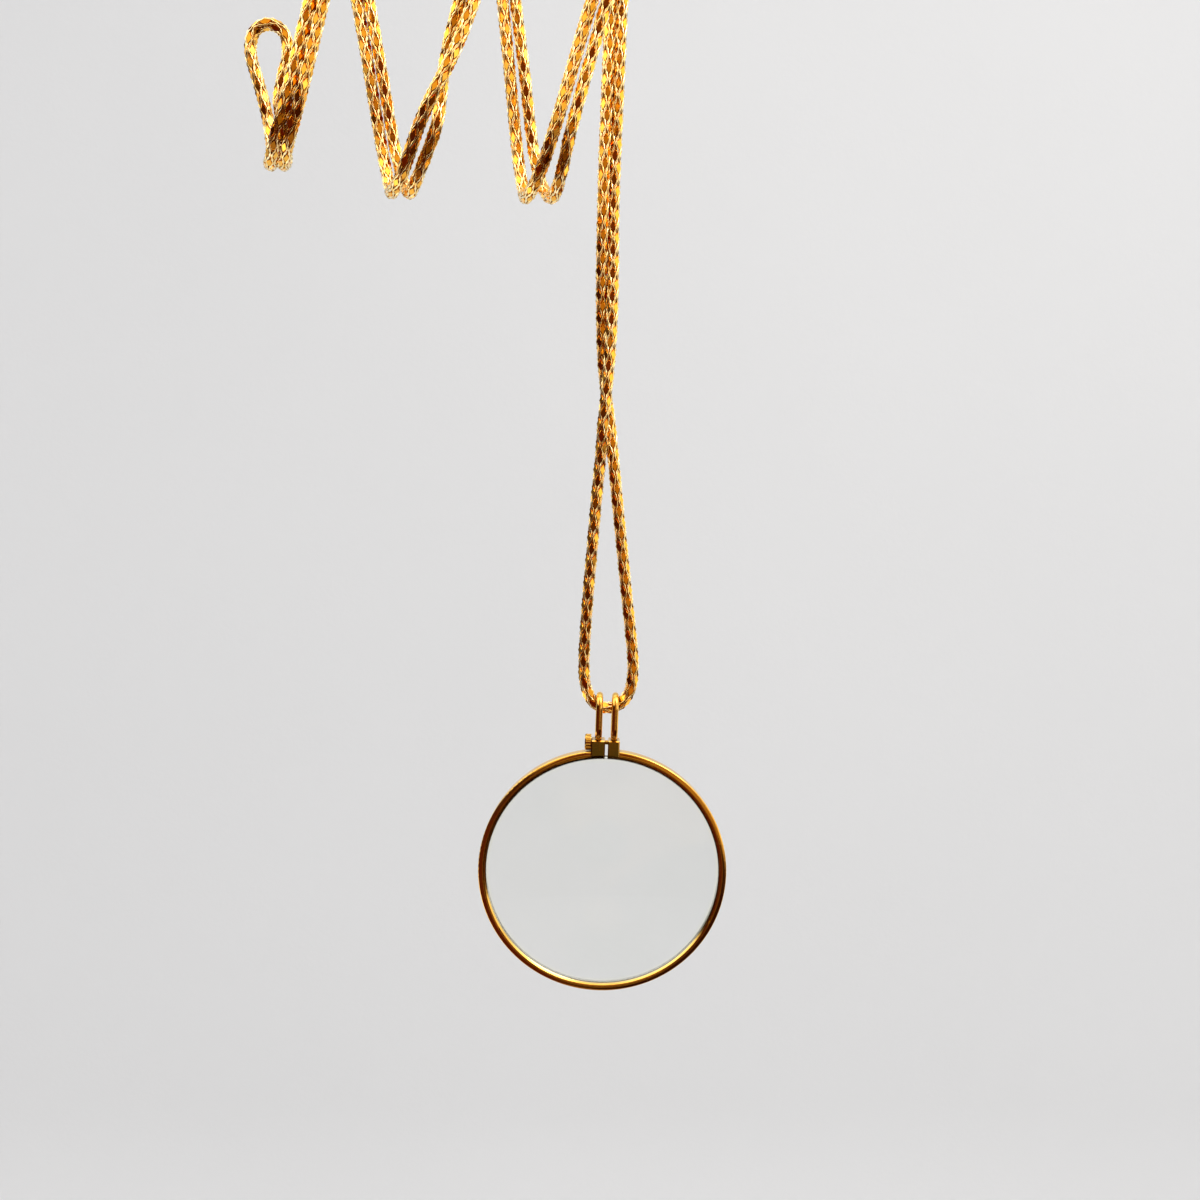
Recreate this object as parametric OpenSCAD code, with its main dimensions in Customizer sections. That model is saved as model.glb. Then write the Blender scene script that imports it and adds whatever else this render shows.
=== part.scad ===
// Magnifier pendant on a long slip-on chain, hung doubled and wound three times round its support.
// Millimetres, +Z up. The origin is the seat, under the crown of the turns and midway through them.
// The pendant hangs below it on a hinge line along X, and its front faces -Y.

/* [Rim] */
// Outer diameter of the rim
rim_d = 45; // [34:1:60]
// Thickness of the rim, from its outside to the lens
rim_wall = 1.45; // [1.1:0.05:2]
// Depth of the rim from front to back
rim_depth = 2.4; // [2:0.1:3.2]
// How far the rim's two rounded faces bulge at their middle
rim_bow = 0.25; // [0.15:0.05:0.3]
// Radius of the rim's rounded outer edges
rim_round = 0.25; // [0.1:0.05:0.35]
// Bevel along the rim's inner edges
lip = 0.15; // [0.05:0.05:0.2]
// Width of the split at the top of the rim
split_w = 0.5; // [0.4:0.1:1.4]

/* [Lens] */
// Thickness of the lens at its edge
lens_edge = 1.5; // [1.2:0.1:2]
// Radius of each curved face of the lens
lens_curve = 130; // [90:5:250]
// Height of the ridge round the edge of the lens
ridge_h = 0.5; // [0.3:0.05:0.6]
// Width of that ridge
ridge_w = 0.9; // [0.7:0.05:1]
// Play of the lens in the rim
lens_play = 0.1; // [0.05:0.01:0.15]

/* [Lugs] */
// Width of the left lug
lug_left = 2.5; // [1.8:0.05:3]
// Width of the right lug
lug_right = 2.1; // [1.6:0.05:3]
// Depth of the lugs from front to back
lug_depth = 3; // [2.4:0.1:3.6]
// Bevel along the edges of the lugs and of the screw's head
bevel = 0.2; // [0.1:0.05:0.3]

/* [Screw] */
// Diameter of the screw's shaft
screw_d = 0.8; // [0.5:0.05:1.2]
// Play of the shaft in the lugs, all round
screw_play = 0.05; // [0.02:0.01:0.1]
// Metal of the lugs above the screw
screw_cover = 0.17; // [0.1:0.01:0.6]
// Diameter of the screw's head
head_d = 2.9; // [1.8:0.05:3.4]
// Gap between the head and the rim below it
head_gap = 0.05; // [0.02:0.01:0.3]
// Thickness of the screw's head
head_t = 1.15; // [0.6:0.05:1.4]
// Width of the slot in the head
slot_w = 0.4; // [0.3:0.05:0.5]
// Depth of the slot in the head
slot_deep = 0.3; // [0.2:0.05:0.4]
// Number of notches round the head
notches = 18; // [12:1:20]

/* [Loops] */
// Thickness of the wire of the two loops
wire_d = 1.25; // [0.8:0.05:1.4]
// Height of the loops above the lugs
loop_h = 8.55; // [7:0.05:11]
// Play of the chain in the loops, all round
loop_play = 0.3; // [0.2:0.05:0.5]
// How deep the loops are soldered into the lugs
loop_sink = 0.3; // [0.2:0.05:0.4]

/* [Chain] */
// How far the pendant leans to the right as it hangs, in degrees
lean = 1.9; // [0:0.1:4]
// How far the foot of the pendant stands back as it hangs, in degrees
tilt = 2.5; // [0:0.1:4]
// Diameter of the chain
chain_d = 2; // [1.6:0.05:2.2]
// Distance from the seat down to the hinge line in the loops
drop = 133.2; // [125:0.2:170]
// Thickness of what the chain is wound round
seat_w = 14.2; // [13:0.2:18]
// Height of what the chain is wound round
seat_h = 45.3; // [42:0.1:60]

/* [Hidden] */
gold = [0.93, 0.66, 0.2];
glass = [0.84, 0.9, 0.87, 0.5];
past = 1;
rim_r = rim_d / 2;
inner_r = rim_r - rim_wall;
groove_h = ridge_h + lens_play;
groove_w = ridge_w + 2 * lens_play;
lens_r = inner_r - lens_play;
lug_left_x = -(split_w + lug_left) / 2;
lug_right_x = (split_w + lug_right) / 2;
head_x = -split_w / 2 - lug_left;
screw_z = sqrt(rim_r * rim_r - head_x * head_x) + head_gap + head_d / 2;
lug_top = screw_z + screw_d / 2 + screw_play + screw_cover;
lug_h = lug_top - inner_r;
shaft_end = split_w / 2 + lug_right;
loop_bend = chain_d / 2 + loop_play + wire_d / 2;
hinge_up = lug_top + loop_h - wire_d / 2 - loop_bend;
loop_leg = loop_h + loop_sink - wire_d - 2 * loop_bend;
bend_r = (seat_w + chain_d) / 2;
bend_top = chain_d / 2 - bend_r;
bend_low = bend_r - chain_d / 2 - seat_h;
sides = 8;
notch_r = 0.14;
notch_out = 0.06;
notch_land = 0.15;

// The chain is two strands side by side. Each row gives the middle between them, the gap between
// their surfaces, and how far the pair is twisted.
// The hanging pair, from the loops up: height above the hinge, x, gap, twist
hanging_rows = [
    [0, 0, 1, 0],
    [0.8, 0, 3.4, 0],
    [2.2, 0.1, 5.2, 0],
    [4.2, 0.1, 6.4, 0],
    [8, 0.1, 6.8, 0],
    [14, 0, 6, 0],
    [20, -0.1, 4.9, 0],
    [28, -0.15, 3.4, 0],
    [36, -0.2, 1.9, 0],
    [45, -0.2, 0.2, 12],
    [49.5, -0.25, 0.25, 52],
    [55.5, -0.3, 0.25, 92],
    [61.5, -0.3, 0.25, 124],
    [68, -0.2, 0.2, 148],
    [76, -0.1, 0.12, 178],
    [85, 0, 0.1, 199],
    [94, 0.25, 0.1, 199],
    [108, 0.85, 0.1, 186]
];
// The winding, six stations a turn (back high, crown, front high, front low, under, back low):
// x, gap, twist, steps to the next station, height of the turn's foot above the lowest.
// Between two stations the twist comes late, by this power of the share of the way
twist_late = 2.4;
winding_rows = [
    [1.6, 0.1, 180, 2, 0],
    [2.1, 0.1, 180, 2, 0],
    [1.7, 0.3, 180, 2, 0],
    [-7.4, 0.8, 180, 2, 0],
    [-11.3, 2.4, 180, 2, 0],
    [-14, 1, 180, 2, 0],
    [-17.4, 0.2, 180, 2, 0.8],
    [-18.4, 0.15, 180, 2, 0.8],
    [-18.7, 0.2, 180, 8, 0.8],
    [-28.8, 0.95, 340, 2, 0.8],
    [-34.3, 1.1, 360, 2, 0.8],
    [-37.6, 0.4, 360, 2, 0.8],
    [-42.5, 0.15, 360, 2, 5.4],
    [-43, 0.12, 360, 2, 5.4],
    [-43.1, 0.12, 360, 2, 5.4],
    [-50, 0.25, 360, 2, 5.4],
    [-55, 0.35, 360, 2, 5.4],
    [-57, 0.5, 360, 1, 5.4]
];
// The end of the pair, up the back: height above the last station, x, gap
tail_rows = [
    [4.2, -57.8, 0.6],
    [8.4, -58, 2.4],
    [11.6, -58, 4.2],
    [14, -58, 4.4],
    [16.3, -58, 2.6]
];
// How far the two closed ends of the chain lie past the first and the last row
loop_sag = 0.25;
tail_tip = 1;

function unit(v) = v / norm(v);
// Place in y and z, a share f of the way from one station of a turn to the next
function round_seat(turn, f, low) =
    turn == 2 ? [-bend_r, bend_top + (low - bend_top) * f] :
    turn == 5 ? [bend_r, low + (bend_top - low) * f] :
    let (a = 90 * (f + (turn < 2 ? turn : turn - 1)))
    [bend_r * cos(a), (turn < 2 ? bend_top : low) + bend_r * sin(a)];
// A row of the route is x, y, z, gap, twist
function wound(i, f) =
    let (here = winding_rows[i], next = winding_rows[min(i + 1, len(winding_rows) - 1)])
    let (r = here * (1 - f) + next * f)
    let (yz = round_seat(i % 6, f, bend_low + r[4]))
    [r[0], yz[0], yz[1], r[1], here[2] + (next[2] - here[2]) * pow(f, twist_late)];
last_station = len(winding_rows) - 1;
tail_z = bend_low + winding_rows[last_station][4];
hanging_route = [for (r = hanging_rows) [r[1], bend_r, r[0] - drop, r[2], r[3]]];
winding_route = [
    for (i = [0 : last_station - 1])
        for (k = [0 : winding_rows[i][3] - 1]) wound(i, k / winding_rows[i][3]),
    wound(last_station, 0)
];
tail_route = [for (r = tail_rows) [r[1], bend_r, tail_z + r[0], r[2], 360]];
route = concat(hanging_route, winding_route, tail_route);
meet = len(hanging_route);

// One strand of the pair at row i: to one side of the middle along x, turned by the twist
function middle(i) = [route[i][0], route[i][1], route[i][2]];
function heading(i) = unit(middle(min(i + 1, len(route) - 1)) - middle(max(i - 1, 0)));
function across(i) =
    let (out = unit(cross(heading(i), [1, 0, 0])))
    [cos(route[i][4]), 0, 0] + sin(route[i][4]) * out;
function strand(i, way) = middle(i) + way * (route[i][3] + chain_d) / 2 * across(i);

// The whole closed chain, from where it meets itself in the loops and back
first_strand = [for (i = [0 : len(route) - 1]) strand(i, 1)];
second_strand = [for (i = [len(route) - 1 : -1 : 0]) strand(i, -1)];
tip = middle(len(route) - 1) + [0, 0, tail_tip];
foot = [0, bend_r, -drop - loop_sag];
hanging_path = concat(
    [for (i = [len(route) - meet - 1 : len(route) - 1]) second_strand[i]],
    [foot],
    [for (i = [0 : meet]) first_strand[i]]
);
wound_path = concat(
    [for (i = [meet : len(route) - 1]) first_strand[i]],
    [tip],
    [for (i = [0 : len(route) - 1 - meet]) second_strand[i]]
);

// A tube along a path: its rings turn as little as they can from one point to the next, and its two
// ends are level, so that they lie flat on the next tube
function level(step) = [0, 0, sign(step[2])];
function directions(path) =
    let (last = len(path) - 1)
    [
        level(path[1] - path[0]),
        for (i = [1 : last - 1]) unit(path[i + 1] - path[i - 1]),
        level(path[last] - path[last - 1])
    ];
function square_to(v, t) = unit(v - (v * t) * t);
function ring_sides(t) = [
    for (i = 0, n = [1, 0, 0]; i < len(t);
         n = square_to(n, t[min(i + 1, len(t) - 1)]), i = i + 1) n
];
function ring_points(p, n, b) = [
    for (k = [0 : sides - 1]) p + chain_d / 2 * (cos(360 * k / sides) * n + sin(360 * k / sides) * b)
];
module tube(path) {
    t = directions(path);
    n = ring_sides(t);
    last = (len(path) - 1) * sides;
    points = [for (i = [0 : len(path) - 1]) each ring_points(path[i], n[i], cross(t[i], n[i]))];
    walls = [
        for (i = [0 : len(path) - 2])
            for (k = [0 : sides - 1])
                let (a = i * sides + k, b = i * sides + (k + 1) % sides)
                each [[a, b + sides, b], [a, a + sides, b + sides]]
    ];
    polyhedron(points, concat(
        [[for (k = [0 : sides - 1]) k], [for (k = [sides - 1 : -1 : 0]) last + k]],
        walls
    ));
}

// Places what is drawn about the centre of the rim, below the hinge line
module pendant() {
    translate([0, bend_r, -drop]) rotate([tilt, lean, 0]) translate([0, 0, -hinge_up]) children();
}

// Turns a shape drawn about +Z so that it faces the front
module facing() {
    rotate([90, 0, 0]) children();
}

// The rim's section: each face is an arc across the wall that runs into a rounded outer edge. It is drawn
// past its inner face, which is bored afterwards
module rim_section() {
    half = rim_wall / 2;
    bow_r = (half * half + rim_bow * rim_bow) / (2 * rim_bow);
    bow_z = rim_depth / 2 - bow_r;
    edge_x = half - rim_round;
    edge_z = sqrt(pow(bow_r - rim_round, 2) - edge_x * edge_x);
    reach = bow_r / (bow_r - rim_round);
    for (side = [0, 1]) mirror([0, side]) translate([inner_r + half, 0]) {
        intersection() {
            translate([0, bow_z]) circle(r = bow_r, $fn = 96);
            translate([-half - 0.3, -0.05]) square([half + 0.3 + edge_x * reach, rim_depth]);
        }
        translate([edge_x, bow_z + edge_z]) circle(r = rim_round, $fn = 48);
        polygon([
            [edge_x * reach, -0.05],
            [edge_x * reach, bow_z + edge_z * reach],
            [edge_x, bow_z + edge_z],
            [half, bow_z + edge_z],
            [half, -0.05]
        ]);
    }
}

// What is cut off along the rim's two inner edges
module lip_cut(side) {
    edge = rim_depth / 2 - rim_bow;
    polygon([
        [inner_r - past, side * (edge - lip - past)],
        [inner_r + lip + past, side * (edge + past)],
        [inner_r - past, side * (edge + past)]
    ]);
}

module groove() {
    polygon([
        [inner_r - past, -groove_w / 2],
        [inner_r, -groove_w / 2],
        [inner_r + groove_h, 0],
        [inner_r, groove_w / 2],
        [inner_r - past, groove_w / 2]
    ]);
}

// A rectangle about its own middle, with bevelled corners
module bevelled(a, b) {
    polygon([
        for (corner = [[1, 1], [-1, 1], [-1, -1], [1, -1]])
            let (first = corner[0] * corner[1] > 0 ? [0, bevel] : [bevel, 0])
            each [
                [corner[0] * (a / 2 - first[0]), corner[1] * (b / 2 - first[1])],
                [corner[0] * (a / 2 - bevel + first[0]), corner[1] * (b / 2 - bevel + first[1])]
            ]
    ]);
}

// A block with bevelled edges, cut from three sides; the bore of the rim trims its foot
module lug(x, w) {
    tall = lug_h + past;
    translate([x, 0, lug_top - tall / 2]) intersection() {
        linear_extrude(tall, center = true) bevelled(w, lug_depth);
        rotate([90, 0, 0]) linear_extrude(lug_depth, center = true) bevelled(w, tall);
        rotate([90, 0, 90]) linear_extrude(w, center = true) bevelled(lug_depth, tall);
    }
}

// A long round-ended link of wire, upright, with its foot sunk in a lug
module wire_loop(x) {
    translate([x, 0, hinge_up]) rotate([90, 0, 90]) {
        half_link();
        translate([0, -loop_leg]) mirror([0, 1]) half_link();
        for (side = [-1, 1])
            translate([side * loop_bend, -loop_leg, 0])
                rotate([-90, 0, 0]) cylinder(d = wire_d, h = loop_leg, $fn = 48);
    }
}

module half_link() {
    rotate_extrude(angle = 180, $fn = 96) translate([loop_bend, 0]) circle(d = wire_d, $fn = 48);
}

// Rim, lugs and loops are soldered into one piece
module rim() {
    color(gold) pendant() difference() {
        union() {
            facing() rotate_extrude($fn = 240) rim_section();
            lug(lug_left_x, lug_left);
            lug(lug_right_x, lug_right);
            wire_loop(lug_left_x);
            wire_loop(lug_right_x);
        }
        facing() cylinder(r = inner_r, h = lug_depth + 2 * past, center = true, $fn = 240);
        facing() rotate_extrude($fn = 240) groove();
        for (side = [-1, 1]) facing() rotate_extrude($fn = 240) lip_cut(side);
        translate([-split_w / 2, -lug_depth / 2 - past, inner_r - past])
            cube([split_w, lug_depth + 2 * past, lug_h + 2 * past]);
        translate([head_x - past, 0, screw_z])
            rotate([0, 90, 0])
                cylinder(d = screw_d + 2 * screw_play, h = shaft_end - head_x + 2 * past, $fn = 48);
    }
}

// Slotted thumb screw that draws the two lugs together
module screw() {
    color(gold) pendant() translate([head_x, 0, screw_z]) rotate([0, 90, 0]) {
        cylinder(d = screw_d, h = shaft_end - head_x, $fn = 48);
        difference() {
            rotate_extrude($fn = 96) polygon([
                [0, 0],
                [head_d / 2, 0],
                [head_d / 2, bevel - head_t],
                [head_d / 2 - bevel, -head_t],
                [0, -head_t]
            ]);
            translate([-head_d, -slot_w / 2, -head_t - past]) cube([2 * head_d, slot_w, slot_deep + past]);
            for (k = [0 : notches - 1])
                rotate([0, 0, 360 * (k + 0.5) / notches])
                    translate([head_d / 2 + notch_out, 0, -head_t - past])
                        cylinder(r = notch_r, h = head_t + past - notch_land, $fn = 16);
        }
    }
}

// Lens with two curved faces and a ridge round its edge that sits in the groove of the rim
module lens() {
    back = sqrt(lens_curve * lens_curve - lens_r * lens_r) - lens_edge / 2;
    color(glass) pendant() {
        intersection() {
            facing() cylinder(r = lens_r, h = lens_r, center = true, $fn = 240);
            translate([0, back, 0]) sphere(r = lens_curve, $fn = 360);
            translate([0, -back, 0]) sphere(r = lens_curve, $fn = 360);
        }
        facing() rotate_extrude($fn = 240) polygon([
            [lens_r - past, -ridge_w / 2],
            [lens_r, -ridge_w / 2],
            [lens_r + ridge_h, 0],
            [lens_r, ridge_w / 2],
            [lens_r - past, ridge_w / 2]
        ]);
    }
}

// The pair that hangs from the seat and runs through the loops
module chain_hanging() {
    color(gold) tube(hanging_path);
}

// The rest of the chain, wound round the support and closed at its far end
module chain_wound() {
    color(gold) tube(wound_path);
}

rim();
screw();
lens();
chain_hanging();
chain_wound();
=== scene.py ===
from math import radians

import bpy
import numpy as np
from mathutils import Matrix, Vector


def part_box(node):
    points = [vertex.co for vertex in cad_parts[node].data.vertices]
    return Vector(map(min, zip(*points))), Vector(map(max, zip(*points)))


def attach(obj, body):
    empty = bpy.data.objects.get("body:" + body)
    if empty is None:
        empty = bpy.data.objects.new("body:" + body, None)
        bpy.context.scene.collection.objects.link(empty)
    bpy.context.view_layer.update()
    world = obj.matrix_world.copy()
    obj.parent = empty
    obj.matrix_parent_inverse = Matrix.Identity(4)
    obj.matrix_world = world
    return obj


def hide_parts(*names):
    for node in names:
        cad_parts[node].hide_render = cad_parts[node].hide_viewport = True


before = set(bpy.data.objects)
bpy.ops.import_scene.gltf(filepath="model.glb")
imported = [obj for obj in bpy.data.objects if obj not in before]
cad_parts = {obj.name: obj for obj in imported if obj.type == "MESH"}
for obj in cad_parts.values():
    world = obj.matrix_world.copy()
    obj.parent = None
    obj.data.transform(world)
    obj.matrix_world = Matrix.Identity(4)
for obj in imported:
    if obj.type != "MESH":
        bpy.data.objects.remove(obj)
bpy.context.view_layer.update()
scene = bpy.context.scene
millimetre = 0.001


# Camera, at the photograph's height and pitch

shot = {
    "place": (-0.0014, -0.2041, -0.0971),
    "pitchDown": 4.6,
    "lens": 36.0,
    "film": 36.0,
    "nearest": 0.005,
    "farthest": 20.0,
}

cameraData = bpy.data.cameras.new("photoCamera")
cameraData.lens = shot["lens"]
cameraData.sensor_width = shot["film"]
cameraData.clip_start = shot["nearest"]
cameraData.clip_end = shot["farthest"]
camera = bpy.data.objects.new("photoCamera", cameraData)
camera.location = shot["place"]
camera.rotation_euler = (radians(90 - shot["pitchDown"]), 0, 0)
scene.collection.objects.link(camera)
scene.camera = camera
scene.view_settings.view_transform = "Standard"
print("camera placed")


# Tools for meshes and materials

def makePiece(name, points, faces, materials, faceMaterial=None, smooth=None):
    mesh = bpy.data.meshes.new(name)
    mesh.from_pydata(points.tolist(), [], faces)
    for material in materials:
        mesh.materials.append(material)
    if faceMaterial is not None:
        mesh.polygons.foreach_set("material_index", np.asarray(faceMaterial, np.int32))
    if smooth is None:
        smooth = np.ones(len(mesh.polygons), bool)
    mesh.polygons.foreach_set("use_smooth", smooth)
    mesh.update()
    piece = bpy.data.objects.new(name, mesh)
    scene.collection.objects.link(piece)
    return piece


def gridFaces(rows, columns, closed):
    # the four corners of each cell of a rows x columns grid of points; closed joins the last column
    # to the first
    row, column = np.mgrid[0:rows - 1, 0:columns if closed else columns - 1]
    after = (column + 1) % columns
    corners = np.stack([
        row * columns + column,
        row * columns + after,
        (row + 1) * columns + after,
        (row + 1) * columns + column,
    ], axis=-1)
    return corners.reshape(-1, 4)


def addNode(tree, kind, inputs=None, **settings):
    node = tree.nodes.new(kind)
    for name, value in settings.items():
        setattr(node, name, value)
    for name, value in (inputs or {}).items():
        if isinstance(value, bpy.types.NodeSocket):
            tree.links.new(value, node.inputs[name])
        else:
            node.inputs[name].default_value = value
    return node


def blendColours(tree, share, first, second):
    node = addNode(tree, "ShaderNodeMix", data_type="RGBA")
    for index, value in ((0, share), (6, first), (7, second)):
        if isinstance(value, bpy.types.NodeSocket):
            tree.links.new(value, node.inputs[index])
        else:
            node.inputs[index].default_value = value
    return node.outputs[2]


def softStep(tree, value, start, full):
    # 0 up to start, 1 from full on, smooth between them
    node = addNode(tree, "ShaderNodeMapRange", {
        "Value": value,
        "From Min": start,
        "From Max": full,
    }, interpolation_type="SMOOTHSTEP")
    return node.outputs["Result"]


def startMaterial(name):
    material = bpy.data.materials.new(name)
    material.use_nodes = True
    tree = material.node_tree
    place = addNode(tree, "ShaderNodeTexCoord").outputs["Object"]
    return material, tree, tree.nodes["Principled BSDF"], place


handling = {
    # how each set of scratches is turned, and how it is drawn out
    "scratchRuns": (
        ((0.3, 0.5, 0.2), (1.0, 1.0, 0.06)),
        ((1.1, 0.2, 0.9), (0.08, 1.0, 1.0)),
    ),
    "scratchDetail": 2.0,
    "scratchFrom": 0.58,
    "scratchFull": 0.7,
    "scratchShare": 0.35,
    "scratchDepth": 0.00002,
    "smudgeDetail": 4.0,
    "smudgeRoughness": 0.6,
    "smudgeFrom": 0.35,
    "smudgeFull": 0.7,
    # painted shade in the hollows: how finely the occlusion is sampled, and the occlusion values at which
    # the darkening is full and at which it fades out
    "paintedShadeSamples": 6,
    "paintedShadeFull": 0.25,
    "paintedShadeFrom": 0.9,
}


def makeTracesGroup():
    # fine scratches in two directions, smudges and painted shade in the hollows, as values that change over
    # the surface
    tree = bpy.data.node_groups.new("handlingTraces", "ShaderNodeTree")
    face = tree.interface
    face.new_socket("Place", in_out="INPUT", socket_type="NodeSocketVector")
    for name, value in (
        ("Scratch Scale", 900.0),
        ("Smudge Scale", 160.0),
        ("Smooth", 0.1),
        ("Rough", 0.3),
        ("Painted Shade Width", 0.0006),
    ):
        socket = face.new_socket(name, in_out="INPUT", socket_type="NodeSocketFloat")
        socket.default_value = value
    for name in ("Roughness", "Height", "Smudge", "Painted Shade"):
        face.new_socket(name, in_out="OUTPUT", socket_type="NodeSocketFloat")
    given = addNode(tree, "NodeGroupInput").outputs
    lines = []
    for turn, stretch in handling["scratchRuns"]:
        turned = addNode(tree, "ShaderNodeMapping", {
            "Vector": given["Place"],
            "Rotation": turn,
            "Scale": stretch,
        })
        noise = addNode(tree, "ShaderNodeTexNoise", {
            "Vector": turned.outputs["Vector"],
            "Scale": given["Scratch Scale"],
            "Detail": handling["scratchDetail"],
        })
        line = addNode(tree, "ShaderNodeMapRange", {
            "Value": noise.outputs["Fac"],
            "From Min": handling["scratchFrom"],
            "From Max": handling["scratchFull"],
        })
        lines.append(line.outputs["Result"])
    scratches = addNode(tree, "ShaderNodeMath", operation="MAXIMUM")
    tree.links.new(lines[0], scratches.inputs[0])
    tree.links.new(lines[1], scratches.inputs[1])
    smudge = addNode(tree, "ShaderNodeTexNoise", {
        "Vector": given["Place"],
        "Scale": given["Smudge Scale"],
        "Detail": handling["smudgeDetail"],
        "Roughness": handling["smudgeRoughness"],
    })
    smudgeShare = addNode(tree, "ShaderNodeMapRange", {
        "Value": smudge.outputs["Fac"],
        "From Min": handling["smudgeFrom"],
        "From Max": handling["smudgeFull"],
    })
    # share times scratches, plus smudges
    mixed = addNode(tree, "ShaderNodeMath", operation="MULTIPLY_ADD")
    tree.links.new(scratches.outputs[0], mixed.inputs[0])
    mixed.inputs[1].default_value = handling["scratchShare"]
    tree.links.new(smudgeShare.outputs["Result"], mixed.inputs[2])
    rough = addNode(tree, "ShaderNodeMapRange", {
        "Value": mixed.outputs[0],
        "To Min": given["Smooth"],
        "To Max": given["Rough"],
    })
    # painted shade: ambient occlusion finds the hollows and the gaps between parts, where shade falls, and
    # the colour is darkened there
    shade = addNode(tree, "ShaderNodeAmbientOcclusion", {
        "Distance": given["Painted Shade Width"],
    }, samples=handling["paintedShadeSamples"])
    paintedShade = addNode(tree, "ShaderNodeMapRange", {
        "Value": shade.outputs["AO"],
        "From Min": handling["paintedShadeFull"],
        "From Max": handling["paintedShadeFrom"],
        "To Min": 1.0,
        "To Max": 0.0,
    })
    result = addNode(tree, "NodeGroupOutput")
    tree.links.new(rough.outputs["Result"], result.inputs["Roughness"])
    tree.links.new(scratches.outputs[0], result.inputs["Height"])
    tree.links.new(smudgeShare.outputs["Result"], result.inputs["Smudge"])
    tree.links.new(paintedShade.outputs["Result"], result.inputs["Painted Shade"])
    return tree


tracesGroup = makeTracesGroup()


def addTraces(tree, place, look):
    given = {"Place": place}
    for socketName in ("Scratch Scale", "Smudge Scale", "Smooth", "Rough", "Painted Shade Width"):
        given[socketName] = look[socketName]
    return addNode(tree, "ShaderNodeGroup", given, node_tree=tracesGroup).outputs


def makeGold(name, look):
    # bright plate: colour deepens where smudged and is painted darker in the hollows as shade; scratches
    # roughen and lift it
    material, tree, shader, place = startMaterial(name)
    traces = addTraces(tree, place, look)
    plate = blendColours(tree, traces["Smudge"], look["bright"], look["deep"])
    # painted shade: the hollow colour is blended over the plate where the occlusion finds hollows
    shaded = blendColours(tree, traces["Painted Shade"], plate, look["paintedShade"])
    bump = addNode(tree, "ShaderNodeBump", {
        "Height": traces["Height"],
        "Strength": look["bump"],
        "Distance": handling["scratchDepth"],
    })
    tree.links.new(shaded, shader.inputs["Base Color"])
    tree.links.new(traces["Roughness"], shader.inputs["Roughness"])
    tree.links.new(bump.outputs["Normal"], shader.inputs["Normal"])
    shader.inputs["Metallic"].default_value = 1.0
    return material


# Backdrop: a pale floor that curves up into a wall

backdrop = {
    "floorHeight": -0.58,
    "wallPlace": 0.42,
    "coveRadius": 0.16,
    "frontEdge": -1.6,
    "wallTop": 1.3,
    "halfWidth": 3.0,
    "covePoints": 25,
    "columns": 9,
    "paint": (0.79, 0.793, 0.797, 1.0),
    "paintLow": (0.76, 0.763, 0.767, 1.0),
    "cloudScale": 6.0,
    "cloudDetail": 5.0,
    "grainScale": 420.0,
    "grainDetail": 3.0,
    "grainStrength": 0.12,
    "grainDepth": 0.0006,
    "roughness": 0.85,
}


def makeBackdrop():
    # the profile is a straight floor, a quarter circle and a straight wall, carried along X
    radius = backdrop["coveRadius"]
    columns = backdrop["columns"]
    bend = np.radians(np.linspace(0, 90, backdrop["covePoints"]))
    coveY = backdrop["wallPlace"] - radius + radius * np.sin(bend)
    coveZ = backdrop["floorHeight"] + radius - radius * np.cos(bend)
    profileY = np.r_[backdrop["frontEdge"], coveY, backdrop["wallPlace"]]
    profileZ = np.r_[backdrop["floorHeight"], coveZ, backdrop["wallTop"]]
    side = np.linspace(-1, 1, columns) * backdrop["halfWidth"]
    points = np.stack([
        np.broadcast_to(side, (len(profileY), columns)),
        np.broadcast_to(profileY[:, None], (len(profileY), columns)),
        np.broadcast_to(profileZ[:, None], (len(profileY), columns)),
    ], axis=-1).reshape(-1, 3)
    material, tree, shader, place = startMaterial("wallPaint")
    cloud = addNode(tree, "ShaderNodeTexNoise", {
        "Vector": place,
        "Scale": backdrop["cloudScale"],
        "Detail": backdrop["cloudDetail"],
    })
    grain = addNode(tree, "ShaderNodeTexNoise", {
        "Vector": place,
        "Scale": backdrop["grainScale"],
        "Detail": backdrop["grainDetail"],
    })
    paint = blendColours(tree, cloud.outputs["Fac"], backdrop["paint"], backdrop["paintLow"])
    bump = addNode(tree, "ShaderNodeBump", {
        "Height": grain.outputs["Fac"],
        "Strength": backdrop["grainStrength"],
        "Distance": backdrop["grainDepth"],
    })
    tree.links.new(paint, shader.inputs["Base Color"])
    tree.links.new(bump.outputs["Normal"], shader.inputs["Normal"])
    shader.inputs["Roughness"].default_value = backdrop["roughness"]
    return makePiece("backdrop", points, gridFaces(len(profileY), columns, False).tolist(), [material])


floor = makeBackdrop()
floor.visible_glossy = False
print("backdrop made")


# Light: a soft light high on the right, one on the wall, and a room that the metal reflects

lights = {
    "key": {"place": (0.40, -0.20, 0.34), "aim": (0.0, 0.0, -0.08), "size": (0.34, 0.34), "power": 1.3,
            "colour": (1.0, 0.97, 0.92)},
    "wall": {"place": (0.6, -0.1, 0.5), "aim": (0.25, 0.42, 0.1), "size": (0.6, 0.4), "power": 0.25,
             "colour": (1.0, 0.99, 0.98)},
}

for lightName, setting in lights.items():
    lamp = bpy.data.lights.new(lightName + "Light", "AREA")
    lamp.shape = "RECTANGLE"
    lamp.size, lamp.size_y = setting["size"]
    lamp.energy = setting["power"]
    lamp.color = setting["colour"]
    lampObject = bpy.data.objects.new(lightName + "Light", lamp)
    lampObject.location = setting["place"]
    toAim = Vector(setting["aim"]) - Vector(setting["place"])
    lampObject.rotation_euler = toAim.to_track_quat("-Z", "Y").to_euler()
    lampObject.visible_camera = False
    scene.collection.objects.link(lampObject)

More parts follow.
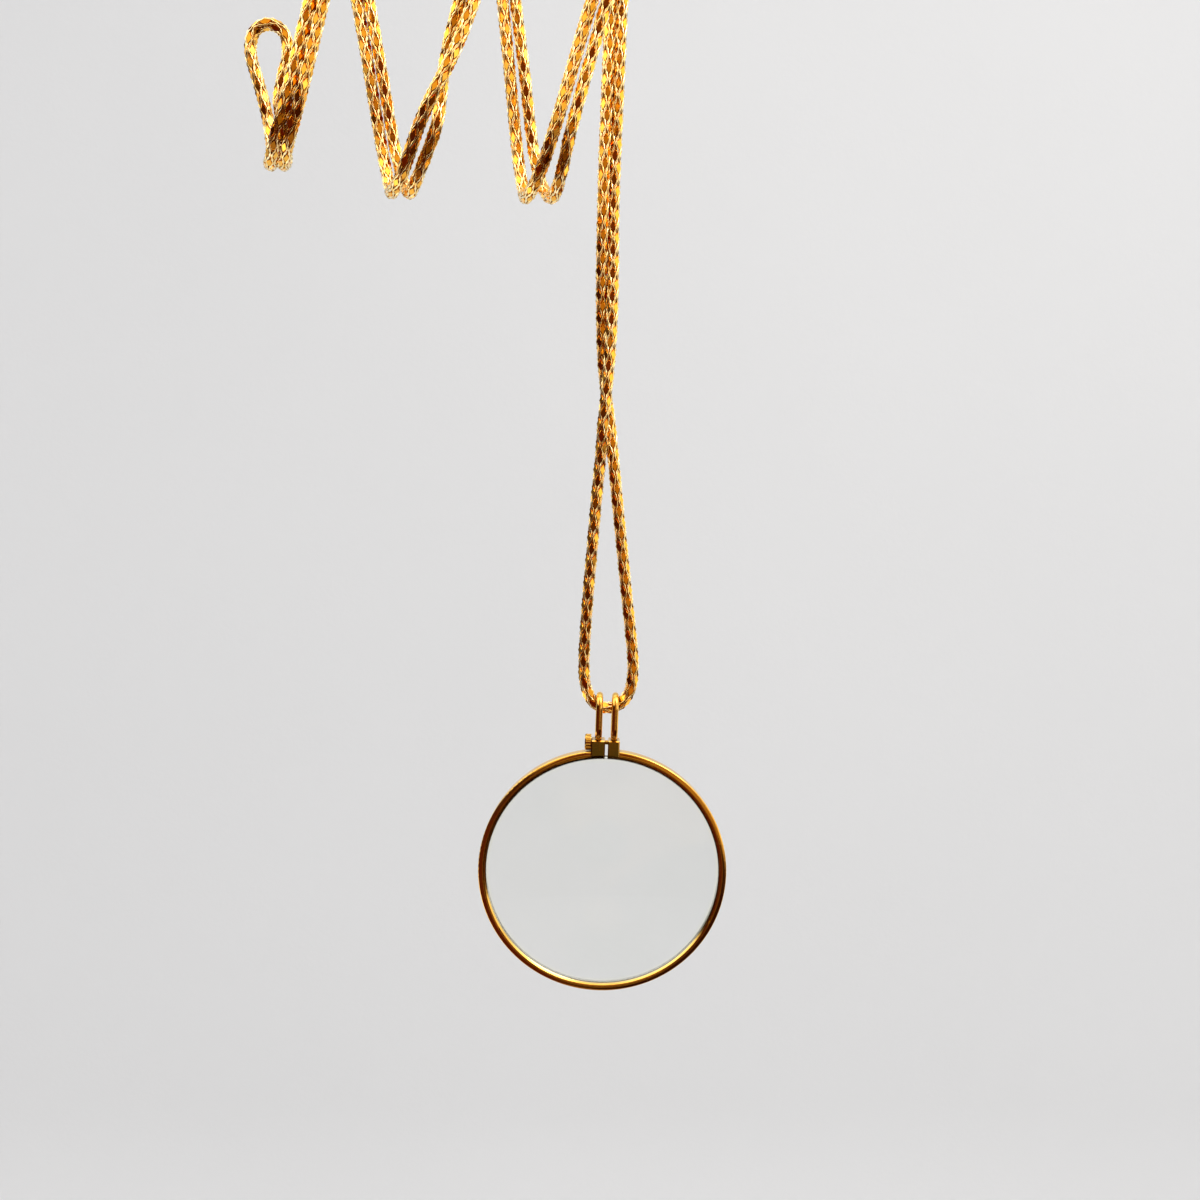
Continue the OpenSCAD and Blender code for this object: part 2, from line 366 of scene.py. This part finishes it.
room = {
    "fill": (0.91, 0.905, 0.91, 1.0),
    "open": (2.4, 2.15, 1.9, 1.0),
    # soft patches of the room, each over those before it: heading, the cosine of the angle from it at
    # which the patch starts to show, the cosine at which it is full, colour
    "patches": (
        ("below", (0.1, -0.5, -0.86), 0.2, 0.9, (0.3, 0.17, 0.07, 1.0)),
        ("highFront", (0.0, -0.866, 0.5), 0.77, 0.94, (0.9, 0.6, 0.22, 1.0)),
        ("front", (0.207, -0.974, -0.087), 0.809, 0.891, (0.48, 0.25, 0.06, 1.0)),
        ("overFront", (-0.035, -0.98, 0.195), 0.956, 0.978, (0.15, 0.035, 0.01, 1.0)),
        ("underFront", (0.132, -0.936, -0.326), 0.986, 0.994, (0.32, 0.14, 0.04, 1.0)),
        ("nearLeft", (-0.568, -0.811, -0.139), 0.866, 0.927, (0.06, 0.014, 0.003, 1.0)),
        ("left", (-0.946, -0.307, -0.105), 0.87, 0.955, (0.035, 0.008, 0.004, 1.0)),
        ("farLeft", (-0.985, 0.174, 0.0), 0.87, 0.955, (0.035, 0.008, 0.004, 1.0)),
        ("farRight", (0.98, 0.17, 0.1), 0.77, 0.9, (1.6, 1.4, 1.1, 1.0)),
        ("highRight", (0.83, -0.518, 0.208), 0.961, 0.988, (0.9, 0.7, 0.35, 1.0)),
        ("right", (0.76, -0.277, -0.588), 0.848, 0.899, (0.1, 0.035, 0.008, 1.0)),
        ("lowLeft", (-0.635, -0.533, -0.559), 0.788, 0.866, (0.1, 0.015, 0.002, 1.0)),
        ("midLeft", (-0.248, -0.864, -0.438), 0.954, 0.972, (0.1, 0.013, 0.002, 1.0)),
        ("lowRight", (0.33, -0.664, -0.671), 0.883, 0.906, (0.03, 0.006, 0.001, 1.0)),
        ("lowMiddle", (0.0, -0.857, -0.515), 0.9962, 0.999, (0.3, 0.17, 0.05, 1.0)),
        ("lowFront", (0.0, -0.961, -0.276), 0.9936, 0.9981, (0.07, 0.055, 0.022, 1.0)),
    ),
    # the pale wall behind, by how far the heading points to +Y
    "wallSeen": (0.86, 0.83, 0.8, 1.0),
    "wallFrom": 0.15,
    "wallFull": 0.6,
    # what the camera sees past the edges of the backdrop from other sides
    "beyond": (0.7, 0.695, 0.69, 1.0),
}


def makeRoom():
    # what the metal sees: light all round, with soft dark patches, and the pale wall behind
    world = bpy.data.worlds.new("room")
    scene.world = world
    world.use_nodes = True
    tree = world.node_tree
    tree.nodes.clear()
    heading = addNode(tree, "ShaderNodeTexCoord").outputs["Generated"]
    seen = room["open"]
    for label, middle, edge, full, colour in room["patches"]:
        toMiddle = addNode(tree, "ShaderNodeVectorMath", operation="DOT_PRODUCT", label=label)
        tree.links.new(heading, toMiddle.inputs[0])
        toMiddle.inputs[1].default_value = middle
        share = softStep(tree, toMiddle.outputs["Value"], edge, full)
        seen = blendColours(tree, share, seen, colour)
    toWall = addNode(tree, "ShaderNodeSeparateXYZ", {"Vector": heading}).outputs["Y"]
    wallShare = softStep(tree, toWall, room["wallFrom"], room["wallFull"])
    seen = blendColours(tree, wallShare, seen, room["wallSeen"])
    # reflections see the patches and other rays the even fill; rays through the glass can count as
    # reflections too, so they are set back to the fill
    rays = addNode(tree, "ShaderNodeLightPath").outputs
    colour = blendColours(tree, rays["Is Glossy Ray"], room["fill"], seen)
    colour = blendColours(tree, rays["Is Transmission Ray"], colour, room["fill"])
    colour = blendColours(tree, rays["Is Camera Ray"], colour, room["beyond"])
    sky = addNode(tree, "ShaderNodeBackground", {"Color": colour, "Strength": 1.0})
    result = addNode(tree, "ShaderNodeOutputWorld")
    tree.links.new(sky.outputs["Background"], result.inputs["Surface"])


makeRoom()
print("lights placed")


# Route of the chain: the same points as the source's

route = {
    "chainWidth": 2.0,
    "strandSpace": 1.9,
    "drop": 133.2,
    "seatWidth": 14.2,
    "seatHeight": 45.3,
    "footSag": 0.25,
    "tipRise": 1.0,
    "twistLate": 2.4,
    "stationsPerTurn": 6,
    "tailTwist": 360.0,
}

# height above the hinge, x, gap, twist in degrees
hangingRows = np.array([
    [0, 0, 1, 0],
    [0.8, 0, 3.4, 0],
    [2.2, 0.1, 5.2, 0],
    [4.2, 0.1, 6.4, 0],
    [8, 0.1, 6.8, 0],
    [14, 0, 6, 0],
    [20, -0.1, 4.9, 0],
    [28, -0.15, 3.4, 0],
    [36, -0.2, 1.9, 0],
    [45, -0.2, 0.2, 12],
    [49.5, -0.25, 0.25, 52],
    [55.5, -0.3, 0.25, 92],
    [61.5, -0.3, 0.25, 124],
    [68, -0.2, 0.2, 148],
    [76, -0.1, 0.12, 178],
    [85, 0, 0.1, 199],
    [94, 0.25, 0.1, 199],
    [108, 0.85, 0.1, 186],
])

# x, gap, twist in degrees, steps to the next, foot height; six a turn: back high, crown,
# front high, front low, under, back low
windingRows = np.array([
    [1.6, 0.1, 180, 2, 0],
    [2.1, 0.1, 180, 2, 0],
    [1.7, 0.3, 180, 2, 0],
    [-7.4, 0.8, 180, 2, 0],
    [-11.3, 2.4, 180, 2, 0],
    [-14, 1, 180, 2, 0],
    [-17.4, 0.2, 180, 2, 0.8],
    [-18.4, 0.15, 180, 2, 0.8],
    [-18.7, 0.2, 180, 8, 0.8],
    [-28.8, 0.95, 340, 2, 0.8],
    [-34.3, 1.1, 360, 2, 0.8],
    [-37.6, 0.4, 360, 2, 0.8],
    [-42.5, 0.15, 360, 2, 5.4],
    [-43, 0.12, 360, 2, 5.4],
    [-43.1, 0.12, 360, 2, 5.4],
    [-50, 0.25, 360, 2, 5.4],
    [-55, 0.35, 360, 2, 5.4],
    [-57, 0.5, 360, 1, 5.4],
])

# height above the last of the turns, x, gap
tailRows = np.array([
    [4.2, -57.8, 0.6],
    [8.4, -58, 2.4],
    [11.6, -58, 4.2],
    [14, -58, 4.4],
    [16.3, -58, 2.6],
])


def unit(vectors):
    return vectors / np.linalg.norm(vectors, axis=-1, keepdims=True)


def strandMiddles():
    # the turns are two straight sides joined by half circles over and under the seat, moving along X;
    # in each turn stations 0 and 1 start the quarters over the seat, 2 the front side, 3 and 4 the
    # quarters under it and 5 the back side
    bend = (route["seatWidth"] + route["chainWidth"]) / 2
    top = route["chainWidth"] / 2 - bend
    bottom = bend - route["chainWidth"] / 2 - route["seatHeight"]
    hanging = np.stack([
        hangingRows[:, 1],
        np.full(len(hangingRows), bend),
        hangingRows[:, 0] - route["drop"],
        hangingRows[:, 2],
        hangingRows[:, 3],
    ], axis=1)
    steps = windingRows[:-1, 3].astype(int)
    station = np.repeat(np.arange(len(steps)), steps)
    firstStep = np.cumsum(steps) - steps
    share = (np.arange(steps.sum()) - firstStep[station]) / steps[station]
    station = np.r_[station, len(steps)]
    share = np.r_[share, 0.0]
    following = np.minimum(station + 1, len(steps))
    mixed = windingRows[station] * (1 - share)[:, None] + windingRows[following] * share[:, None]
    turnPlace = station % route["stationsPerTurn"]
    overSeat = turnPlace < 2
    sides = [turnPlace == 2, turnPlace == 5]
    low = bottom + windingRows[station, 4]
    angle = np.radians(90 * (share + np.where(overSeat, turnPlace, turnPlace - 1)))
    placeY = np.select(sides, [-bend, bend], bend * np.cos(angle))
    placeZ = np.select(
        sides,
        [top + (low - top) * share, low + (top - low) * share],
        np.where(overSeat, top, low) + bend * np.sin(angle),
    )
    twistShare = share ** route["twistLate"]
    twist = windingRows[station, 2] * (1 - twistShare) + windingRows[following, 2] * twistShare
    wound = np.stack([mixed[:, 0], placeY, placeZ, mixed[:, 1], twist], axis=1)
    lastHeight = bottom + windingRows[-1, 4]
    tail = np.stack([
        tailRows[:, 1],
        np.full(len(tailRows), bend),
        lastHeight + tailRows[:, 0],
        tailRows[:, 2],
        np.full(len(tailRows), route["tailTwist"]),
    ], axis=1)
    return np.vstack([hanging, wound, tail]), len(hanging)


def closedRoute():
    # each strand's middle lies half the gap and half a strand's room from the pair's middle, along
    # cos(twist) X + sin(twist) (heading x X); the net gives a little where two strands touch, so each
    # takes less room than its full width
    rows, meeting = strandMiddles()
    middle = rows[:, :3]
    heading = unit(np.vstack([middle[1] - middle[0], middle[2:] - middle[:-2], middle[-1] - middle[-2]]))
    outward = unit(np.cross(heading, [1.0, 0.0, 0.0]))
    twist = np.radians(rows[:, 4])[:, None]
    across = np.cos(twist) * [1.0, 0.0, 0.0] + np.sin(twist) * outward
    shift = across * (rows[:, 3:4] + route["strandSpace"]) / 2
    strandA = middle + shift
    strandB = middle - shift
    foot = [0.0, middle[0, 1], -route["drop"] - route["footSag"]]
    tip = middle[-1] + [0.0, 0.0, route["tipRise"]]
    # from the meeting point down one strand, round the foot, up the other, round the turns and back
    points = np.vstack([strandA[meeting::-1], foot, strandB, tip, strandA[:meeting:-1]])
    return points * millimetre, 2 * meeting + 2


def smoothLoop(points, spacing=0.00025, fewest=4):
    # centripetal Catmull-Rom curve through a closed run of points; the knots lie the square root of the
    # distance apart, and each stretch has a step about every spacing
    count = len(points)
    before = points[np.arange(-1, count - 1)]
    start = points
    end = points[(np.arange(count) + 1) % count]
    after = points[(np.arange(count) + 2) % count]
    knots = [np.zeros(count)]
    for first, second in ((before, start), (start, end), (end, after)):
        knots.append(knots[-1] + np.linalg.norm(second - first, axis=1) ** 0.5)
    pieces = np.maximum(fewest, (np.linalg.norm(end - start, axis=1) / spacing).astype(int))
    index = np.repeat(np.arange(count), pieces)
    step = np.arange(pieces.sum()) - (np.cumsum(pieces) - pieces)[index]
    k0, k1, k2, k3 = (knot[index, None] for knot in knots)
    t = k1 + (k2 - k1) * (step / pieces[index])[:, None]
    p0, p1, p2, p3 = before[index], start[index], end[index], after[index]
    a1 = ((k1 - t) * p0 + (t - k0) * p1) / (k1 - k0)
    a2 = ((k2 - t) * p1 + (t - k1) * p2) / (k2 - k1)
    a3 = ((k3 - t) * p2 + (t - k2) * p3) / (k3 - k2)
    b1 = ((k2 - t) * a1 + (t - k0) * a2) / (k2 - k0)
    b2 = ((k3 - t) * a2 + (t - k1) * a3) / (k3 - k1)
    curve = ((k2 - t) * b1 + (t - k1) * b2) / (k2 - k1)
    return curve, np.cumsum(pieces) - pieces


def evenStations(curve, count):
    # the same closed curve at equal steps of its length
    closed = np.vstack([curve, curve[:1]])
    along = np.r_[0.0, np.cumsum(np.linalg.norm(np.diff(closed, axis=0), axis=1))]
    wanted = np.linspace(0, along[-1], count, endpoint=False)
    even = np.stack([np.interp(wanted, along, closed[:, axis]) for axis in range(3)], axis=1)
    return even, along


def carriedFrame(stations, symmetry, start, firstAcross=(0.0, 1.0, 0.2)):
    # a side direction carried along without turning about the path; what is left over when the loop
    # closes, up to the links' own symmetry, is spread evenly
    heading = unit(np.roll(stations, -1, axis=0) - np.roll(stations, 1, axis=0))
    side = np.empty_like(heading)
    side[0] = unit(np.cross(heading[0], firstAcross))
    for i in range(1, len(heading)):
        kept = side[i - 1] - heading[i] * np.dot(side[i - 1], heading[i])
        side[i] = kept / np.linalg.norm(kept)
    back = side[-1] - heading[0] * np.dot(side[-1], heading[0])
    back = back / np.linalg.norm(back)
    other = np.cross(heading[0], side[0])
    left = np.arctan2(np.dot(back, other), np.dot(back, side[0]))
    left = (left + symmetry / 2) % symmetry - symmetry / 2
    turn = (start - left * np.arange(len(heading)) / len(heading))[:, None]
    cross = np.cross(heading, side)
    return heading, np.cos(turn) * side + np.sin(turn) * cross, np.cos(turn) * cross - np.sin(turn) * side


# Chain: a net of zigzag wires round the strand, with a flat cut lozenge in each opening

chain = {
    "rows": 458,
    "columns": 8,
    "stepsPerRow": 4,
    "wireRing": 0.00086,
    "knotRise": 0.00002,
    "wireWidth": 0.00038,
    "beadSwell": 0.42,
    "wireSides": 6,
    "wireFlat": 0.96,
    "swing": 14.0,
    "cornerSharpness": 0.93,
    "facetLength": 0.0021,
    "facetWidth": 0.001,
    "facetFoot": 0.00076,
    "facetTop": 0.00095,
    "facetTopShare": 0.88,
    "facetTilt": 0.02,
    "tiltSeed": 11,
    "coreRing": 0.00077,
    "coreSides": 12,
    "coreStep": 2,
    # the angle in degrees at which the net starts round its own strand
    "netStart": -11.0,
}

# painted light: the wires are given a paler gold than the facets of the same plate, so that they read
# brighter
wireGold = makeGold("chainWireGold", {
    "bright": (1.0, 0.92, 0.58, 1.0),
    "deep": (1.0, 0.72, 0.2, 1.0),
    # painted shade colour for the hollows between wires and facets
    "paintedShade": (0.85, 0.32, 0.02, 1.0),
    "Scratch Scale": 5200.0,
    "Smudge Scale": 700.0,
    "Smooth": 0.07,
    "Rough": 0.2,
    "Painted Shade Width": 0.00013,
    "bump": 0.2,
})
facetGold = makeGold("chainFacetGold", {
    "bright": (1.0, 0.56, 0.08, 1.0),
    "deep": (0.94, 0.46, 0.04, 1.0),
    # painted shade colour for the hollows
    "paintedShade": (0.7, 0.3, 0.02, 1.0),
    "Scratch Scale": 6500.0,
    "Smudge Scale": 900.0,
    "Smooth": 0.03,
    "Rough": 0.1,
    "Painted Shade Width": 0.0001,
    "bump": 0.06,
})
# painted shade: the core's gold is deeper and darker than the facets', so that it reads as the shade inside
# the net
coreShadeGold = makeGold("chainCoreShadeGold", {
    "bright": (1.0, 0.42, 0.05, 1.0),
    "deep": (0.8, 0.28, 0.03, 1.0),
    # painted shade colour for the hollows
    "paintedShade": (0.5, 0.13, 0.01, 1.0),
    "Scratch Scale": 3000.0,
    "Smudge Scale": 1200.0,
    "Smooth": 0.3,
    "Rough": 0.5,
    "Painted Shade Width": 0.0004,
    "bump": 0.4,
})

controlPoints, footCount = closedRoute()
curve, curveStart = smoothLoop(controlPoints)
stationCount = chain["rows"] * chain["stepsPerRow"]
stations, curveAlong = evenStations(curve, stationCount)
# the net is the same again two columns further round
netRepeat = 2 * (2 * np.pi / chain["columns"])
heading, sideways, upward = carriedFrame(stations, netRepeat, radians(chain["netStart"]))
chainLength = curveAlong[-1]
rowLength = chainLength / chain["rows"]
# the hanging node ends at the same point of the route as in the source, to the nearest row
hangingRowCount = int(round(curveAlong[curveStart[footCount]] / rowLength))
print("chain route", round(chainLength, 4), "m; rows hanging", hangingRowCount, "of", chain["rows"])


def outwardAt(index, angle):
    # away from the middle of the strand, at an angle from the carried side
    return np.cos(angle)[..., None] * sideways[index] + np.sin(angle)[..., None] * upward[index]


def aroundAt(index, angle):
    # round the strand, square to the outward direction there
    return np.cos(angle)[..., None] * upward[index] - np.sin(angle)[..., None] * sideways[index]


def zigzagWires(firstRow, lastRow):
    # each wire swings between two columns: middle angle plus or minus swing times a rounded triangle wave
    perRow = chain["stepsPerRow"]
    step = np.arange(firstRow * perRow, lastRow * perRow + 1)
    index = (step % stationCount)[:, None]
    wire = np.arange(chain["columns"])[None, :]
    sharp = chain["cornerSharpness"]
    wave = np.arcsin(sharp * np.cos(np.pi * step / perRow)) / np.arcsin(sharp)
    between = 2 * np.pi / chain["columns"]
    angle = (wire + 0.5) * between + radians(chain["swing"]) * (-1.0) ** wire * wave[:, None]
    outward = outwardAt(index, angle)
    ring = chain["wireRing"] + chain["knotRise"] * wave[:, None, None] ** 2
    middle = stations[index] + ring * outward
    along = unit(np.gradient(middle, axis=0))
    flank = unit(np.cross(along, outward))
    raised = np.cross(flank, along)
    spin = 2 * np.pi * (np.arange(chain["wireSides"]) + 0.5) / chain["wireSides"]
    height = np.minimum(np.cos(spin), chain["wireFlat"])[None, None, :, None]
    width = np.sin(spin)[None, None, :, None]
    # the wire swells at every second step, so that it reads as a run of short grains
    radius = chain["wireWidth"] / 2 * (1 + chain["beadSwell"] * (-1.0) ** step)[:, None, None, None]
    points = middle[:, :, None] + radius * (height * raised[:, :, None] - width * flank[:, :, None])
    points = points.transpose(1, 0, 2, 3)
    sides = chain["wireSides"]
    perWire = len(step) * sides
    grid = gridFaces(len(step), sides, True)
    faces = (grid[None] + perWire * np.arange(chain["columns"])[:, None, None]).reshape(-1, 4).tolist()
    rim = np.arange(sides)
    for number in range(chain["columns"]):
        faces.append((perWire * number + rim[::-1]).tolist())
        faces.append((perWire * (number + 1) - sides + rim).tolist())
    return points.reshape(-1, 3), faces


def cutFacets(firstRow, lastRow):
    # a lozenge whose flat top is square to the outward direction, sloping down to a wider foot
    row, column = np.meshgrid(np.arange(firstRow, lastRow), np.arange(chain["columns"]), indexing="ij")
    kept = (row + column) % 2 == 0
    row = row[kept]
    column = column[kept]
    index = (row * chain["stepsPerRow"]) % stationCount
    angle = 2 * np.pi * column / chain["columns"]
    outward = outwardAt(index, angle)
    around = aroundAt(index, angle)
    along = heading[index]
    chance = np.random.default_rng(chain["tiltSeed"])
    tilt = chance.normal(0, chain["facetTilt"], (len(row), 2))
    # the four corners, each as its reach along and around the strand
    corner = np.array([[1, 0], [0, 1], [-1, 0], [0, -1]], float)
    reach = corner * [chain["facetLength"] / 2, chain["facetWidth"] / 2]
    top = reach * chain["facetTopShare"]
    rise = chain["facetTop"] + top @ tilt.T
    foot = stations[index, None] + chain["facetFoot"] * outward[:, None]
    foot = foot + reach[None, :, :1] * along[:, None] + reach[None, :, 1:] * around[:, None]
    head = stations[index, None] + rise.T[:, :, None] * outward[:, None]
    head = head + top[None, :, :1] * along[:, None] + top[None, :, 1:] * around[:, None]
    points = np.concatenate([foot, head], axis=1).reshape(-1, 3)
    # points 0 to 3 are the foot, 4 to 7 the top
    shell = np.array([
        [4, 5, 6, 7],
        [3, 2, 1, 0],
        [0, 1, 5, 4],
        [1, 2, 6, 5],
        [2, 3, 7, 6],
        [3, 0, 4, 7],
    ])
    perFacet = 2 * len(corner)
    faces = (shell[None] + perFacet * np.arange(len(row))[:, None, None]).reshape(-1, 4)
    return points, faces.tolist()


def chainCore(firstRow, lastRow):
    # the inside of the net, rougher, and deeper in colour as painted shade in the gaps between wires and
    # facets: a plain tube just under the facets
    perRow = chain["stepsPerRow"]
    sides = chain["coreSides"]
    step = np.arange(firstRow * perRow, lastRow * perRow + 1, chain["coreStep"])
    index = (step % stationCount)[:, None]
    angle = np.broadcast_to(2 * np.pi * np.arange(sides) / sides, (len(step), sides))
    points = stations[index] + chain["coreRing"] * outwardAt(index, angle)
    faces = gridFaces(len(step), sides, True).tolist()
    ring = np.arange(sides)
    faces.append(ring[::-1].tolist())
    faces.append(((len(step) - 1) * sides + ring).tolist())
    return points.reshape(-1, 3), faces


def makeChain(name, node, firstRow, lastRow):
    pointSets = []
    faces = []
    finish = []
    smooth = []
    offset = 0
    # each builder's place in the list of materials, and whether its faces are shaded round
    builders = ((zigzagWires, 0, True), (cutFacets, 1, False), (chainCore, 2, True))
    for builder, finishNumber, rounded in builders:
        points, partFaces = builder(firstRow, lastRow)
        faces += [[corner + offset for corner in face] for face in partFaces]
        finish += [finishNumber] * len(partFaces)
        smooth += [rounded] * len(partFaces)
        pointSets.append(points)
        offset += len(points)
    piece = makePiece(name, np.vstack(pointSets), faces, [wireGold, facetGold, coreShadeGold], finish, smooth)
    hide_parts(node)
    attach(piece, "chain")
    print(name, "faces", len(faces))


makeChain("hangingChainLinks", "chain_hanging", 0, hangingRowCount)
makeChain("woundChainLinks", "chain_wound", hangingRowCount, chain["rows"])


# Rim, lugs, loops and screw: polished plate

rimGold = makeGold("rimGold", {
    "bright": (0.84, 0.54, 0.13, 1.0),
    "deep": (0.76, 0.43, 0.085, 1.0),
    # painted shade colour for the hollows
    "paintedShade": (0.2, 0.125, 0.03, 1.0),
    "Scratch Scale": 1500.0,
    "Smudge Scale": 220.0,
    "Smooth": 0.08,
    "Rough": 0.2,
    "Painted Shade Width": 0.0008,
    "bump": 0.15,
})

# painted shade: a darker, greener colour on the rim's bore beside the glass, where the rim meets it
bore = {
    "boreShade": (0.45, 0.4, 0.23, 1.0),
    "boreShadeTo": 0.02112,
    "plainFrom": 0.02128,
}

lensLow, lensHigh = np.array(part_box("lens"))


def distanceFromLens(tree, place):
    # from the middle of the lens's box
    node = addNode(tree, "ShaderNodeVectorMath", operation="DISTANCE")
    tree.links.new(place, node.inputs[0])
    node.inputs[1].default_value = ((lensLow + lensHigh) / 2).tolist()
    return node.outputs["Value"]


def paintBoreShade(material):
    # the bore beside the glass is painted darker and greener than the plate, as shade where the rim meets
    # the glass; the plate takes over across the rim's rounded inner edge, by the distance from the middle
    # of the lens
    tree = material.node_tree
    shader = tree.nodes["Principled BSDF"]
    plate = shader.inputs["Base Color"].links[0].from_socket
    place = addNode(tree, "ShaderNodeTexCoord").outputs["Object"]
    plain = softStep(tree, distanceFromLens(tree, place), bore["boreShadeTo"], bore["plainFrom"])
    # painted shade colour near the glass, giving way to the plate across the inner edge
    tree.links.new(blendColours(tree, plain, bore["boreShade"], plate), shader.inputs["Base Color"])


def dress(nodeNames, material):
    for nodeName in nodeNames:
        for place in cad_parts[nodeName].material_slots:
            place.material = material


paintBoreShade(rimGold)
dress(("rim", "screw"), rimGold)
print("rim and screw finished")


# Lens: clear glass with a trace of green

lensLook = {
    "clear": (0.985, 0.996, 0.985, 1.0),
    "tinted": (0.965, 0.98, 0.962, 1.0),
    # painted reflection: the edge colour's yellow stands in for the gold rim seen in the glass edge
    "edge": (1.0, 1.0, 0.9, 1.0),
    "edgeWidth": 0.0011,
    "edgeRoughness": 0.2,
    "refraction": 1.52,
    "shine": 0.2,
    "Scratch Scale": 400.0,
    "Smudge Scale": 70.0,
    "Smooth": 0.0,
    "Rough": 0.02,
    "Painted Shade Width": 0.0005,
}


def makeLensGlass():
    material, tree, shader, place = startMaterial("lensGlass")
    traces = addTraces(tree, place, lensLook)
    tint = blendColours(tree, traces["Smudge"], lensLook["clear"], lensLook["tinted"])
    # the ground edge: from a little inside the lens's outline the glass turns less smooth, and a little
    # yellower as a painted reflection of the gold rim; its roughness is the edge's share times
    # edgeRoughness, plus that of the traces
    outline = (lensHigh[2] - lensLow[2]) / 2
    width = lensLook["edgeWidth"]
    edge = softStep(tree, distanceFromLens(tree, place), outline - width, outline - width / 2)
    edgeRough = addNode(tree, "ShaderNodeMath", operation="MULTIPLY_ADD")
    tree.links.new(edge, edgeRough.inputs[0])
    edgeRough.inputs[1].default_value = lensLook["edgeRoughness"]
    tree.links.new(traces["Roughness"], edgeRough.inputs[2])
    # painted reflection of the gold rim, blended in towards the lens's outline
    glassColour = blendColours(tree, edge, tint, lensLook["edge"])
    tree.links.new(glassColour, shader.inputs["Base Color"])
    tree.links.new(edgeRough.outputs[0], shader.inputs["Roughness"])
    shader.inputs["Metallic"].default_value = 0.0
    shader.inputs["Transmission Weight"].default_value = 1.0
    shader.inputs["IOR"].default_value = lensLook["refraction"]
    shader.inputs["Specular IOR Level"].default_value = lensLook["shine"]
    return material


dress(("lens",), makeLensGlass())
print("lens finished")
